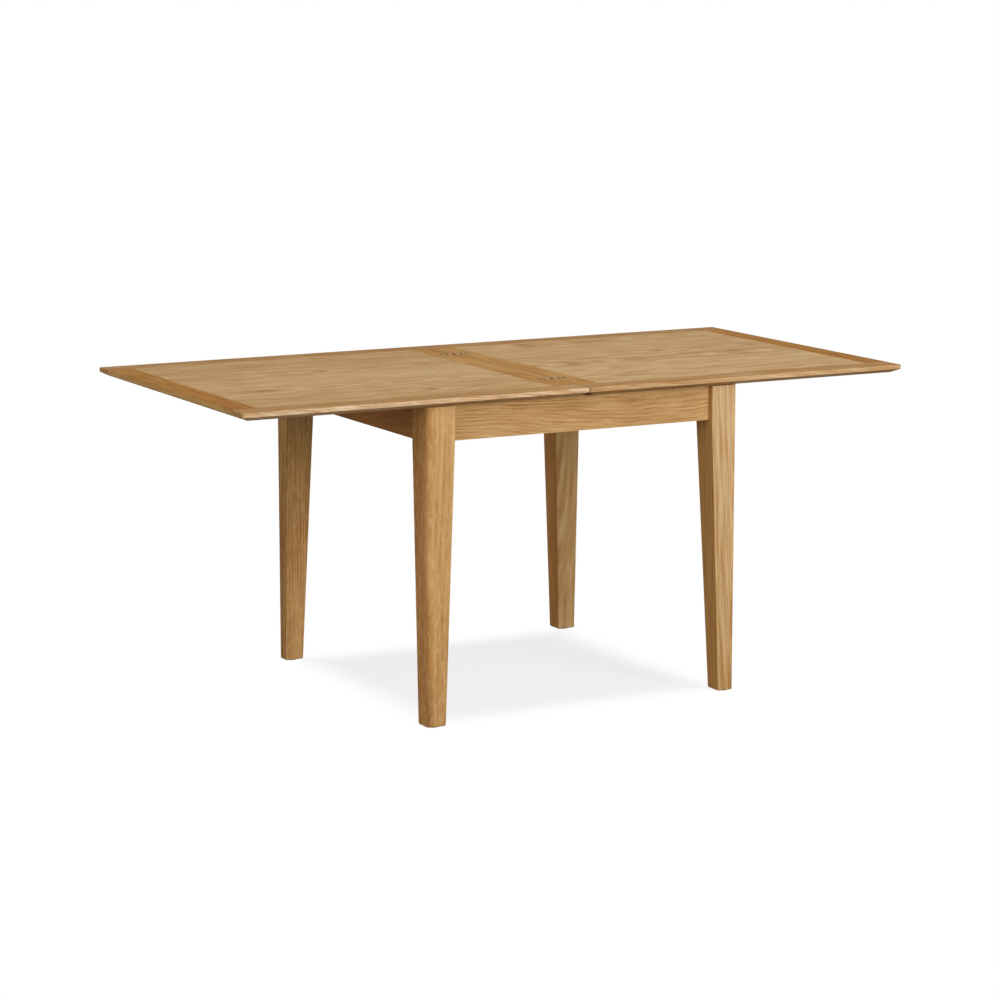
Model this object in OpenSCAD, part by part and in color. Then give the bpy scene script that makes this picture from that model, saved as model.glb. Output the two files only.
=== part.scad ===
/* [Table] */
// Height from the floor to the surface of the open top
table_h = 747; // [720:1:800]
// Length of one leaf, in the direction in which the top opens
leaf_len = 850; // [780:5:950]
// Width of both leaves, from the front edge to the back edge
leaf_w = 850; // [780:5:950]

/* [Leaf boards] */
// Thickness of a leaf
leaf_t = 19; // [18:0.5:22]
// Height of the upright edge face, above the under bevel
edge_h = 10; // [8:0.5:12]
// Distance that the under bevel runs in from the edge
bevel_in = 18; // [10:1:24]
// Rounding of the corners of a leaf in plan
leaf_corner_r = 4.5; // [2:0.5:6]
// Rounding of the arris between surface and edge
arris_r = 1.5; // [0.5:0.25:2]
// Width of the rails at the seam and at the far end
cross_rail_w = 60; // [55:1:80]
// Width of the rails along the front and the back
long_rail_w = 62; // [50:1:80]
// Thickness of the tongues that join the boards
tongue_t = 6; // [5:0.5:7]
// Length of those tongues
tongue_l = 8; // [6:0.5:10]
// Room left at the bottom and the ends of a groove for glue
glue_gap = 0.2; // [0.1:0.1:0.5]
// Distance from the shoulder of a cross rail to the end of its groove
groove_stop = 6; // [4:1:20]

/* [Link hinges] */
// Distance from the long edge of a leaf to the middle of a hinge
hinge_in = 180; // [120:5:240]
// Length of a hinge plate from the seam
plate_l = 42; // [40:0.5:48]
// Width of a hinge plate
plate_w = 19; // [17:0.5:22]
// Thickness of a hinge plate
plate_t = 3.6; // [3.4:0.1:4.2]
// Depth of the plate's face under the surface
plate_sink = 0.15; // [0.1:0.05:0.3]
// Distance from the seam to a hinge pin
pin_reach = 2.6; // [2.4:0.1:3]
// Depth of a hinge pin under the surface
pin_depth = 1.9; // [1.8:0.05:2]
// Radius of a hinge pin
pin_r = 0.85; // [0.75:0.05:0.9]
// Radius of the round ends of a link
link_r = 1.7; // [1.5:0.05:1.7]
// Width of a link
link_w = 7; // [6:0.5:8]
// Distance from the seam to the near hinge screw
near_screw = 20; // [15:1:22]
// Distance from the seam to the far hinge screw
far_screw = 33; // [31:1:34]
// Radius of the shank of a hinge screw
hinge_screw_r = 1.6; // [1.25:0.05:1.75]
// Radius of the countersunk head of a hinge screw
hinge_head_r = 3.1; // [2.6:0.1:3.5]
// Length of a hinge screw
hinge_screw_l = 14; // [10:1:15]
// Gap between the two leaves at the seam
seam_gap = 0.3; // [0.2:0.05:0.5]

/* [Legs] */
// Overhang of the closed top past the legs at each end
end_overhang = 20.5; // [5:0.5:40]
// Overhang of the top past the legs at the front and the back
side_overhang = 17; // [5:0.5:40]
// Width of the square head of a leg
leg_head = 70.5; // [65:0.5:85]
// Width of the foot of a leg
leg_foot = 45.5; // [35:0.5:60]
// Rounding of the outer corner of a leg
leg_corner_r = 18; // [8:1:30]
// Chamfer round the foot of a leg
foot_chamfer = 2; // [1:0.5:4]
// Flat cut on the inner corner of the head, for the corner block
block_flat = 8; // [6:0.5:12]
// Radius of a foot glide
glide_r = 15; // [10:0.5:17]
// Thickness of a foot glide
glide_t = 2.5; // [2:0.5:5]
// Radius of the stem of a foot glide
glide_stem_r = 2.5; // [2:0.5:4]
// Length of the stem of a foot glide
glide_stem_l = 14; // [10:1:20]

/* [Aprons] */
// Height of the aprons
apron_h = 80; // [76:0.5:100]
// Thickness of the aprons
apron_t = 22; // [20:1:26]
// Step from the legs to the front and back aprons
front_recess = 12.5; // [10:0.5:16]
// Step from the legs to the side aprons
side_recess = 7.5; // [5:0.5:12]
// Thickness of the felt on the aprons
felt_t = 1.5; // [1:0.25:3]
// Width of the felt on the aprons
felt_w = 14; // [8:1:18]
// Distance from the end of an apron to its felt
felt_end = 10; // [0:1:30]
// Radius of a dowel
dowel_r = 5; // [4:0.5:6]
// Length of a dowel
dowel_l = 50; // [40:2:54]
// Distance between the two dowels in a joint
dowel_pitch = 40; // [32:1:48]

/* [Corner blocks] */
// Thickness of a corner block along the diagonal
block_t = 28; // [22:1:32]
// Height of a corner block
block_h = 50; // [44:1:60]
// Radius of the leg bolts
bolt_r = 4; // [3:0.5:5]
// Depth of a leg bolt in the leg
bolt_depth = 40; // [30:1:50]
// Length of a leg bolt past its nut
bolt_end = 5; // [2:1:12]
// Width of a nut across its flats
nut_flats = 13; // [12:0.5:17]
// Thickness of a nut
nut_t = 6.5; // [4:0.5:8]
// Radius of a washer
washer_r = 12; // [10:0.5:14]
// Thickness of a washer
washer_t = 1.6; // [1:0.1:2.5]
// Radius of the shank of a corner block screw
block_screw_r = 2; // [1.5:0.25:2.5]
// Length of a corner block screw
block_screw_l = 27; // [22:1:29]
// Depth of the wood between that screw's head and the apron
block_screw_seat = 11; // [9:0.5:13]
// Distance between the two screws in an end of a corner block
block_screw_pitch = 24; // [18:1:30]

/* [Slide] */
// Distance from the middle of the table to the inner face of a guide rail
guide_y = 170; // [120:5:220]
// Width of a guide rail
guide_w = 28; // [24:1:36]
// Height of a guide rail
guide_h = 44; // [40:1:52]
// Width of a runner
runner_w = 20; // [16:1:26]
// Height of a runner
runner_h = 32; // [30:1:36]
// Height of the tongue of a runner
runner_tongue_h = 7; // [5:0.5:9]
// Length of the tongue of a runner
runner_tongue_l = 8; // [6:0.5:10]
// Depth of that tongue under the leaf
runner_tongue_z = 17; // [14:1:18]
// Play between a runner and its guide rail
runner_play = 0.4; // [0.3:0.1:0.8]
// Radius of the shank of a runner screw
runner_screw_r = 2; // [1.5:0.25:2.5]
// Depth of a runner screw in the leaf
runner_screw_bite = 12; // [8:1:14]
// Depth of the pocket for the head of a runner screw
runner_pocket = 14; // [12:1:18]
// Distance from the end of a runner to its first screw
runner_screw_end = 30; // [20:1:50]
// Number of screws in a runner
runner_screws_n = 4; // [2:1:6]
// Thickness of a stop buffer
buffer_t = 4; // [2:0.5:8]
// Radius of a stop buffer
buffer_r = 8; // [5:0.5:9]

/* [Brackets] */
// Length of each arm of a guide rail bracket
bracket_arm = 30; // [28:1:32]
// Width of a bracket
bracket_w = 20; // [14:1:24]
// Thickness of a bracket
bracket_t = 2.5; // [1.5:0.5:4]
// Radius of the shank of a bracket screw
bracket_screw_r = 1.75; // [1.25:0.25:2.25]
// Depth of a bracket screw in the wood
bracket_screw_bite = 14; // [10:1:16]
// Distance from the corner of a bracket to its near screw
bracket_near = 11; // [10:0.5:12]
// Distance from the corner of a bracket to its far screw
bracket_far = 23; // [21:0.5:25]

/* [Hidden] */
$fn = 48;
// Room round a piece that is seated in another one of the same body
fit = 0.1;
// Room between a hinge pin and the link that turns on it
pin_play = 0.08;
// Room between a link and the slot that it turns in
link_play = 0.3;
// Room between a runner's end and its buffer
end_play = 0.3;
// Overlap of a cutting shape past the face that it cuts
cut = 1;
// Room past the tip of a screw, a bolt or a dowel
tip_room = 0.5;
// Room under a turning link
link_pocket = 0.6;
// Straight rim of a countersunk head
head_rim = 0.3;
// Width, length and depth of the cross recess in a screw head
recess_w = 0.7;
recess_l = 3.6;
recess_d = 1;
// Width of a pan head's flat top as a share of its radius
pan_top = 0.6;
// Height of a pan head's rim as a share of its thickness
pan_side = 0.4;
// Head sizes of the pan head screws
pan_head_r = 4;
pan_head_t = 2.5;
small_head_r = 3.5;
small_head_t = 2;
// Room round a screw head in its pocket
head_room = 1;
// Room round a bolt in its washer and in its corner block
bolt_room = 0.5;
// Length of the wood thread's cone on a leg bolt
bolt_cone = 6;

leaf_z = table_h - leaf_t;
leg_top = leaf_z - felt_t;
apron_z = leg_top - apron_h;
apron_mid = apron_z + apron_h / 2;
base_x = leaf_len / 2 - end_overhang;
base_y = leaf_w / 2 - side_overhang;
leg_in_x = base_x - leg_head;
leg_in_y = base_y - leg_head;
front_out = base_y - front_recess;
front_in = front_out - apron_t;
side_out = base_x - side_recess;
side_in = side_out - apron_t;

rail_y = leaf_w / 2 - long_rail_w;
end_x = leaf_len - cross_rail_w;
tongue_z = leaf_z + (leaf_t - tongue_t) / 2;
groove_l = tongue_l + glue_gap;
groove_y = rail_y - groove_stop;
hinge_y = leaf_w / 2 - hinge_in;
seam_x = seam_gap / 2;
seam_r = pin_reach - seam_x;
pin_z = table_h - pin_depth;
plate_z = table_h - plate_sink - plate_t;
slot_x = pin_reach + link_r + link_play;
slot_w = link_w + 2 * link_play;

travel = leaf_len / 2;
runner_x = side_in - buffer_t - end_play;
runner_l = 2 * runner_x - travel;
runner_in = guide_y - runner_play - runner_w;
runner_mid = runner_in + runner_w / 2;
runner_z = leaf_z - runner_h;
runner_tongue_top = leaf_z - runner_tongue_z;
guide_z = leg_top - guide_h;
guide_mid = guide_y + guide_w / 2;
runner_screw_step = (runner_l - 2 * runner_screw_end) / (runner_screws_n - 1);

// Distances along the diagonal of a corner, measured as x plus y
block_out = leg_in_x + leg_in_y + block_flat;
block_in = block_out - block_t * sqrt(2);
block_z = apron_mid - block_h / 2;
flat_x = leg_in_x + block_flat / 2;
flat_y = leg_in_y + block_flat / 2;
// Middles of the block's two ends, where its screws stand
block_screw_x = (block_out + block_in) / 2 - front_in;
block_screw_y = (block_out + block_in) / 2 - side_in;
bolt_l = bolt_depth + block_t + washer_t + nut_t + bolt_end;

panel_oak = "#B99B6B";
rail_oak = "#AB8149";
leg_oak = "#B88F58";
apron_oak = "#B1854F";
hidden_wood = "#C9AE84";
dowel_wood = "#D2BA90";
felt_brown = "#4B3A2C";
brass = "#7A6534";
steel = "#A9ABAD";
rubber = "#2B2A29";
nylon = "#3A332C";

// Mirrors its children to the side given by -1 or 1
module side_x(s) {
    mirror([s < 0 ? 1 : 0, 0, 0]) children();
}

module side_y(s) {
    mirror([0, s < 0 ? 1 : 0, 0]) children();
}

// Repeats its children at all four corners
module four_corners() {
    for (sx = [-1, 1], sy = [-1, 1]) side_x(sx) side_y(sy) children();
}

// Extrudes an outline drawn in x and z along y
module along_y(from, to) {
    translate([0, to, 0]) rotate([90, 0, 0]) linear_extrude(to - from) children();
}

// Extrudes an outline drawn in y and z along x
module along_x(from, to) {
    translate([from, 0, 0]) rotate([90, 0, 90]) linear_extrude(to - from) children();
}

// What a quarter round of radius r, centred on the origin, leaves of its square
module round_waste(r) {
    difference() {
        square(r + cut);
        circle(r);
    }
}

// Screws point down, with the face under a pan head or the top of a flat head at zero
module pan_screw(r, length, head_r, head_t) {
    difference() {
        rotate_extrude() polygon([
            [0, head_t], [head_r * pan_top, head_t], [head_r, head_t * pan_side],
            [head_r, 0], [r, 0], [r, 2 * r - length], [0, -length]
        ]);
        translate([0, 0, head_t - recess_d]) cross_recess();
    }
}

module flat_screw(r, length, head_r) {
    difference() {
        flat_screw_shape(r, length, head_r);
        translate([0, 0, -recess_d]) cross_recess();
    }
}

module flat_screw_shape(r, length, head_r) {
    rotate_extrude() polygon([
        [0, 0], [head_r, 0], [head_r, -head_rim], [r, r - head_r - head_rim],
        [r, 2 * r - length], [0, -length]
    ]);
}

module cross_recess() {
    for (a = [0, 90]) rotate([0, 0, a])
        translate([-recess_l / 2, -recess_w / 2, 0]) cube([recess_l, recess_w, recess_d + cut]);
}

// Bore for a pan head screw's shank, from its head's seat down
module screw_bore(r, length) {
    translate([0, 0, -length - tip_room]) cylinder(r = r + fit, h = length + tip_room + cut);
}

// Legs

// Outline of a leg seen from one side, with its outer face at out
function leg_side(out) = [
    [out - leg_head, leg_top], [out - leg_head, apron_z],
    [out - leg_foot, glide_t + foot_chamfer], [out - leg_foot + foot_chamfer, glide_t],
    [out - foot_chamfer, glide_t], [out, glide_t + foot_chamfer], [out, leg_top]
];

module leg_plan() {
    difference() {
        translate([leg_in_x, leg_in_y]) square(leg_head);
        translate([base_x - leg_corner_r, base_y - leg_corner_r]) round_waste(leg_corner_r);
    }
}

module block_flat_cut() {
    translate([leg_in_x, leg_in_y, block_z])
        linear_extrude(leg_top - block_z + cut)
            polygon([[-cut, -cut], [block_flat + cut, -cut], [-cut, block_flat + cut]]);
}

module leg(sx, sy) {
    color(leg_oak) side_x(sx) side_y(sy) difference() {
        intersection() {
            linear_extrude(leg_top) leg_plan();
            along_y(leg_in_y - cut, base_y + cut) polygon(leg_side(base_x));
            along_x(leg_in_x - cut, base_x + cut) polygon(leg_side(base_y));
        }
        block_flat_cut();
        on_bolt_axis() translate([0, 0, -bolt_depth - tip_room])
            cylinder(r = bolt_r + fit, h = bolt_depth + tip_room + block_flat);
        dowel_pair_front(fit, tip_room);
        dowel_pair_side(fit, tip_room);
        glide_place() translate([0, 0, -cut])
            cylinder(r = glide_stem_r + fit, h = glide_stem_l + tip_room + cut);
    }
}

module glide_place() {
    translate([base_x - leg_foot / 2, base_y - leg_foot / 2, glide_t]) children();
}

module foot_glides() {
    color(nylon) four_corners() glide_place() {
        translate([0, 0, -glide_t]) cylinder(r = glide_r, h = glide_t);
        cylinder(r = glide_stem_r, h = glide_stem_l);
    }
}

// Aprons and their dowels

module dowel_pair(r, length) {
    for (s = [-1, 1]) translate([0, 0, apron_mid + s * dowel_pitch / 2])
        translate([-length / 2, 0, 0]) rotate([0, 90, 0]) cylinder(r = r, h = length);
}

module dowel_pair_front(gap, room) {
    translate([leg_in_x, front_in + apron_t / 2, 0]) dowel_pair(dowel_r + gap, dowel_l + 2 * room);
}

module dowel_pair_side(gap, room) {
    translate([side_in + apron_t / 2, leg_in_y, 0])
        rotate([0, 0, 90]) dowel_pair(dowel_r + gap, dowel_l + 2 * room);
}

module apron_dowels() {
    color(dowel_wood) four_corners() {
        dowel_pair_front(0, 0);
        dowel_pair_side(0, 0);
    }
}

module long_apron(sy) {
    color(apron_oak) side_y(sy) difference() {
        translate([-leg_in_x, front_in, apron_z]) cube([2 * leg_in_x, apron_t, apron_h]);
        for (sx = [-1, 1]) side_x(sx) {
            dowel_pair_front(fit, tip_room);
            front_block_screws() screw_bore(block_screw_r, block_screw_l);
        }
    }
}

module side_apron(sx) {
    color(apron_oak) side_x(sx) difference() {
        translate([side_in, -leg_in_y, apron_z]) cube([apron_t, 2 * leg_in_y, apron_h]);
        for (sy = [-1, 1]) side_y(sy) {
            dowel_pair_side(fit, tip_room);
            side_block_screws() screw_bore(block_screw_r, block_screw_l);
            bracket_side_screws() screw_bore(bracket_screw_r, bracket_screw_bite + bracket_t);
        }
    }
}

module felt_long(sy) {
    color(felt_brown) side_y(sy)
        translate([felt_end - leg_in_x, front_in + (apron_t - felt_w) / 2, leg_top])
            cube([2 * (leg_in_x - felt_end), felt_w, felt_t]);
}

module felt_side(sx) {
    color(felt_brown) side_x(sx)
        translate([side_in + (apron_t - felt_w) / 2, felt_end - leg_in_y, leg_top])
            cube([felt_w, 2 * (leg_in_y - felt_end), felt_t]);
}

// Corner blocks with their bolts and screws

// Turns children so that their z axis runs along the diagonal, out of the leg's flat
module on_bolt_axis() {
    translate([flat_x, flat_y, apron_mid]) rotate([0, 0, 45]) rotate([0, -90, 0]) children();
}

module front_block_screws() {
    for (s = [-1, 1])
        translate([block_screw_x, front_in - block_screw_seat, apron_mid + s * block_screw_pitch / 2])
            rotate([90, 0, 0]) children();
}

module side_block_screws() {
    for (s = [-1, 1])
        translate([side_in - block_screw_seat, block_screw_y, apron_mid + s * block_screw_pitch / 2])
            rotate([0, -90, 0]) children();
}

module block_screw_hole() {
    screw_bore(block_screw_r, block_screw_l);
    cylinder(r = pan_head_r + head_room, h = block_t);
}

module corner_block(sx, sy) {
    color(hidden_wood) side_x(sx) side_y(sy) difference() {
        translate([0, 0, block_z]) linear_extrude(block_h) polygon([
            [block_in - front_in, front_in], [block_out - front_in, front_in],
            [side_in, block_out - side_in], [side_in, block_in - side_in]
        ]);
        on_bolt_axis() translate([0, 0, -cut])
            cylinder(r = bolt_r + bolt_room, h = block_t + 2 * cut);
        front_block_screws() block_screw_hole();
        side_block_screws() block_screw_hole();
    }
}

module corner_block_screws() {
    color(steel) four_corners() {
        front_block_screws() pan_screw(block_screw_r, block_screw_l, pan_head_r, pan_head_t);
        side_block_screws() pan_screw(block_screw_r, block_screw_l, pan_head_r, pan_head_t);
    }
}

module leg_bolts() {
    color(steel) four_corners() on_bolt_axis() translate([0, 0, -bolt_depth]) rotate_extrude()
        polygon([[0, 0], [bolt_r, bolt_cone], [bolt_r, bolt_l], [0, bolt_l]]);
}

module leg_bolt_washers() {
    color(steel) four_corners() on_bolt_axis() translate([0, 0, block_t]) difference() {
        cylinder(r = washer_r, h = washer_t);
        translate([0, 0, -cut]) cylinder(r = bolt_r + bolt_room, h = washer_t + 2 * cut);
    }
}

module leg_bolt_nuts() {
    color(steel) four_corners() on_bolt_axis() translate([0, 0, block_t + washer_t]) difference() {
        cylinder(r = nut_flats / 2 / cos(30), h = nut_t, $fn = 6);
        translate([0, 0, -cut]) cylinder(r = bolt_r + fit, h = nut_t + 2 * cut);
    }
}

// Guide rails, their brackets and the buffers

module guide_rail(sy) {
    groove_h = runner_tongue_h + 2 * runner_play;
    groove_d = runner_tongue_l + runner_play;
    color(hidden_wood) side_y(sy) difference() {
        translate([-side_in, guide_y, guide_z]) cube([2 * side_in, guide_w, guide_h]);
        translate([-side_in - cut, guide_y - cut, runner_tongue_top - runner_tongue_h - runner_play])
            cube([2 * (side_in + cut), groove_d + cut, groove_h]);
        for (sx = [-1, 1]) side_x(sx)
            bracket_rail_screws() screw_bore(bracket_screw_r, bracket_screw_bite + bracket_t);
    }
}

module bracket_rail_screws() {
    for (d = [bracket_near, bracket_far])
        translate([side_in - d, guide_mid, guide_z - bracket_t]) rotate([180, 0, 0]) children();
}

module bracket_side_screws() {
    for (d = [bracket_near, bracket_far])
        translate([side_in - bracket_t, guide_mid, guide_z - d]) rotate([0, -90, 0]) children();
}

module guide_brackets() {
    color(steel) four_corners() difference() {
        union() {
            translate([side_in - bracket_arm, guide_mid - bracket_w / 2, guide_z - bracket_t])
                cube([bracket_arm, bracket_w, bracket_t]);
            translate([side_in - bracket_t, guide_mid - bracket_w / 2, guide_z - bracket_arm])
                cube([bracket_t, bracket_w, bracket_arm]);
        }
        bracket_rail_screws() screw_bore(bracket_screw_r, bracket_screw_bite);
        bracket_side_screws() screw_bore(bracket_screw_r, bracket_screw_bite);
    }
}

module guide_bracket_screws() {
    length = bracket_screw_bite + bracket_t;
    color(steel) four_corners() {
        bracket_rail_screws() pan_screw(bracket_screw_r, length, small_head_r, small_head_t);
        bracket_side_screws() pan_screw(bracket_screw_r, length, small_head_r, small_head_t);
    }
}

module stop_buffers() {
    color(rubber) four_corners()
        translate([side_in - buffer_t, runner_mid, leaf_z - runner_h / 2])
            rotate([0, 90, 0]) cylinder(r = buffer_r, h = buffer_t);
}

// Boards of a leaf, drawn on the side where x is positive

// What the rounding of the seam edge round a hinge pin takes away, in x and z
module seam_waste() {
    translate([pin_reach, pin_z]) mirror([1, 0]) round_waste(seam_r);
}

module leaf_long_outline() {
    difference() {
        polygon([
            [seam_x, table_h - edge_h], [seam_x + bevel_in, leaf_z],
            [leaf_len - bevel_in, leaf_z], [leaf_len, table_h - edge_h],
            [leaf_len, table_h], [seam_x, table_h]
        ]);
        translate([leaf_len - arris_r, table_h - arris_r]) round_waste(arris_r);
        seam_waste();
    }
}

module leaf_cross_outline() {
    half = leaf_w / 2;
    difference() {
        polygon([
            [-half, table_h - edge_h], [bevel_in - half, leaf_z], [half - bevel_in, leaf_z],
            [half, table_h - edge_h], [half, table_h], [-half, table_h]
        ]);
        for (s = [0, 1]) mirror([s, 0])
            translate([half - arris_r, table_h - arris_r]) round_waste(arris_r);
    }
}

module leaf_plan() {
    middle = (leaf_len + seam_x) / 2;
    half_l = (leaf_len - seam_x) / 2;
    translate([middle, 0]) difference() {
        square([2 * half_l, leaf_w], center = true);
        for (sx = [0, 1], sy = [0, 1]) mirror([sx, 0]) mirror([0, sy])
            translate([half_l - leaf_corner_r, leaf_w / 2 - leaf_corner_r])
                round_waste(leaf_corner_r);
    }
}

// The whole leaf as one solid, from which the boards take their outer shape
module leaf_blank() {
    intersection() {
        along_y(-leaf_w / 2, leaf_w / 2) leaf_long_outline();
        along_x(0, leaf_len) leaf_cross_outline();
        translate([0, 0, leaf_z]) linear_extrude(leaf_t) leaf_plan();
    }
}

module long_rail(sx, sy) {
    color(rail_oak) side_x(sx) side_y(sy) difference() {
        intersection() {
            leaf_blank();
            translate([-cut, rail_y, leaf_z - cut])
                cube([leaf_len + 2 * cut, long_rail_w + cut, leaf_t + 2 * cut]);
        }
        translate([-cut, rail_y - cut, tongue_z])
            cube([leaf_len + 2 * cut, groove_l + cut, tongue_t]);
    }
}

// A rail across the leaf between two places along it, with a tenon at each end
module cross_rail(from, to) {
    intersection() {
        leaf_blank();
        union() {
            translate([from, -rail_y, leaf_z - cut]) cube([to - from, 2 * rail_y, leaf_t + 2 * cut]);
            translate([from, -rail_y - tongue_l, tongue_z])
                cube([to - from, 2 * (rail_y + tongue_l), tongue_t]);
        }
    }
}

module end_rail(sx) {
    color(rail_oak) side_x(sx) difference() {
        cross_rail(end_x, leaf_len + cut);
        translate([end_x - cut, -groove_y, tongue_z])
            cube([groove_l + cut, 2 * groove_y, tongue_t]);
    }
}

module seam_rail(sx) {
    color(rail_oak) side_x(sx) difference() {
        cross_rail(-cut, cross_rail_w);
        translate([cross_rail_w - groove_l, -groove_y, tongue_z])
            cube([groove_l + cut, 2 * groove_y, tongue_t]);
        for (sy = [-1, 1]) side_y(sy) hinge_mortise();
    }
}

module panel(sx) {
    color(panel_oak) side_x(sx) {
        translate([cross_rail_w, -rail_y, leaf_z])
            cube([end_x - cross_rail_w, 2 * rail_y, leaf_t]);
        translate([cross_rail_w - tongue_l, glue_gap - groove_y, tongue_z])
            cube([end_x - cross_rail_w + 2 * tongue_l, 2 * (groove_y - glue_gap), tongue_t]);
        translate([cross_rail_w, -rail_y - tongue_l, tongue_z])
            cube([end_x - cross_rail_w, 2 * (rail_y + tongue_l), tongue_t]);
    }
}

module fixed_panel() {
    color(panel_oak) difference() {
        panel(-1);
        for (sy = [-1, 1]) side_y(sy) runner_screw_places()
            screw_bore(runner_screw_r, runner_h - runner_pocket + runner_screw_bite);
    }
}

// Link hinges, drawn round the middle of the front to back run at hinge_y

module plate_plan(gap) {
    straight = plate_l - plate_w / 2;
    translate([0, -plate_w / 2 - gap]) square([straight, plate_w + 2 * gap]);
    translate([straight, 0]) circle(plate_w / 2 + gap);
}

module hinge_screw_places() {
    for (x = [near_screw, far_screw])
        translate([x, hinge_y, table_h - plate_sink]) children();
}

module hinge_mortise() {
    translate([0, hinge_y, plate_z]) linear_extrude(plate_t + plate_sink + cut) plate_plan(fit);
    translate([0, hinge_y - slot_w / 2, plate_z - link_pocket])
        cube([slot_x, slot_w, plate_t + link_pocket]);
    hinge_screw_places() translate([0, 0, -fit]) screw_bore(hinge_screw_r, hinge_screw_l);
}

module hinge_plate(sx, sy) {
    color(brass) side_x(sx) side_y(sy) difference() {
        translate([0, hinge_y, plate_z]) linear_extrude(plate_t) difference() {
            plate_plan(0);
            translate([0, -slot_w / 2]) square([slot_x, slot_w]);
            translate([0, -plate_w]) square([seam_x, 2 * plate_w]);
        }
        along_y(hinge_y - plate_w, hinge_y + plate_w) seam_waste();
        along_y(hinge_y - plate_w, hinge_y + plate_w)
            translate([pin_reach, pin_z]) circle(pin_r);
        hinge_screw_places() flat_screw_shape(hinge_screw_r + fit, hinge_screw_l, hinge_head_r + fit);
    }
}

module hinge_screws(sx) {
    color(brass) side_x(sx) for (sy = [-1, 1]) side_y(sy) hinge_screw_places()
        translate([0, 0, -fit]) flat_screw(hinge_screw_r, hinge_screw_l, hinge_head_r);
}

module hinge_pins(sx) {
    color(brass) side_x(sx) for (sy = [-1, 1]) side_y(sy)
        along_y(hinge_y - plate_w / 2, hinge_y + plate_w / 2)
            translate([pin_reach, pin_z]) circle(pin_r);
}

module hinge_link(sy) {
    color(brass) side_y(sy) along_y(hinge_y - link_w / 2, hinge_y + link_w / 2) difference() {
        union() {
            for (s = [-1, 1]) translate([s * pin_reach, pin_z]) circle(link_r);
            translate([-pin_reach, pin_z - link_r]) square([2 * pin_reach, 2 * link_r]);
        }
        for (s = [-1, 1]) translate([s * pin_reach, pin_z]) circle(pin_r + pin_play);
    }
}

// Runners under the fixed leaf

module runner_screw_places() {
    for (i = [0 : runner_screws_n - 1])
        translate([runner_screw_end + i * runner_screw_step - runner_x, runner_mid, runner_z + runner_pocket])
            rotate([180, 0, 0]) children();
}

module runner(sy) {
    outer = runner_in + runner_w;
    tongue_bottom = runner_tongue_top - runner_tongue_h;
    color(hidden_wood) side_y(sy) difference() {
        along_x(-runner_x, runner_l - runner_x) polygon([
            [runner_in, runner_z], [outer, runner_z], [outer, tongue_bottom],
            [outer + runner_tongue_l, tongue_bottom], [outer + runner_tongue_l, runner_tongue_top],
            [outer, runner_tongue_top], [outer, leaf_z], [runner_in, leaf_z]
        ]);
        runner_screw_places() {
            screw_bore(runner_screw_r, runner_h);
            cylinder(r = pan_head_r + head_room, h = runner_pocket + cut);
        }
    }
}

module runner_screws() {
    length = runner_h - runner_pocket + runner_screw_bite;
    color(steel) for (sy = [-1, 1]) side_y(sy) runner_screw_places()
        pan_screw(runner_screw_r, length, pan_head_r, pan_head_t);
}

leg(-1, -1);  // leg_front_left
leg(1, -1);  // leg_front_right
leg(-1, 1);  // leg_back_left
leg(1, 1);  // leg_back_right
long_apron(-1);  // apron_front
long_apron(1);  // apron_back
side_apron(-1);  // apron_left
side_apron(1);  // apron_right
apron_dowels();
corner_block(-1, -1);  // corner_block_front_left
corner_block(1, -1);  // corner_block_front_right
corner_block(-1, 1);  // corner_block_back_left
corner_block(1, 1);  // corner_block_back_right
corner_block_screws();
leg_bolts();
leg_bolt_washers();
leg_bolt_nuts();
foot_glides();
guide_rail(-1);  // guide_rail_front
guide_rail(1);  // guide_rail_back
guide_brackets();
guide_bracket_screws();
stop_buffers();
felt_long(-1);  // felt_front
felt_long(1);  // felt_back
felt_side(-1);  // felt_left
felt_side(1);  // felt_right
fixed_panel();  // fixed_leaf_panel
long_rail(-1, -1);  // fixed_leaf_front_rail
long_rail(-1, 1);  // fixed_leaf_back_rail
end_rail(-1);  // fixed_leaf_end_rail
seam_rail(-1);  // fixed_leaf_seam_rail
runner(-1);  // runner_front
runner(1);  // runner_back
runner_screws();
hinge_plate(-1, -1);  // fixed_hinge_plate_front
hinge_plate(-1, 1);  // fixed_hinge_plate_back
hinge_screws(-1);  // fixed_hinge_screws
hinge_pins(-1);  // fixed_hinge_pins
hinge_link(-1);  // hinge_link_front
hinge_link(1);  // hinge_link_back
panel(1);  // flip_leaf_panel
long_rail(1, -1);  // flip_leaf_front_rail
long_rail(1, 1);  // flip_leaf_back_rail
end_rail(1);  // flip_leaf_end_rail
seam_rail(1);  // flip_leaf_seam_rail
hinge_plate(1, -1);  // flip_hinge_plate_front
hinge_plate(1, 1);  // flip_hinge_plate_back
hinge_screws(1);  // flip_hinge_screws
hinge_pins(1);  // flip_hinge_pins
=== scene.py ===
"""Finishes and studio stage for the flip top dining table, laid out as a Blender add-on and run as a script."""
import math
import random

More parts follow.
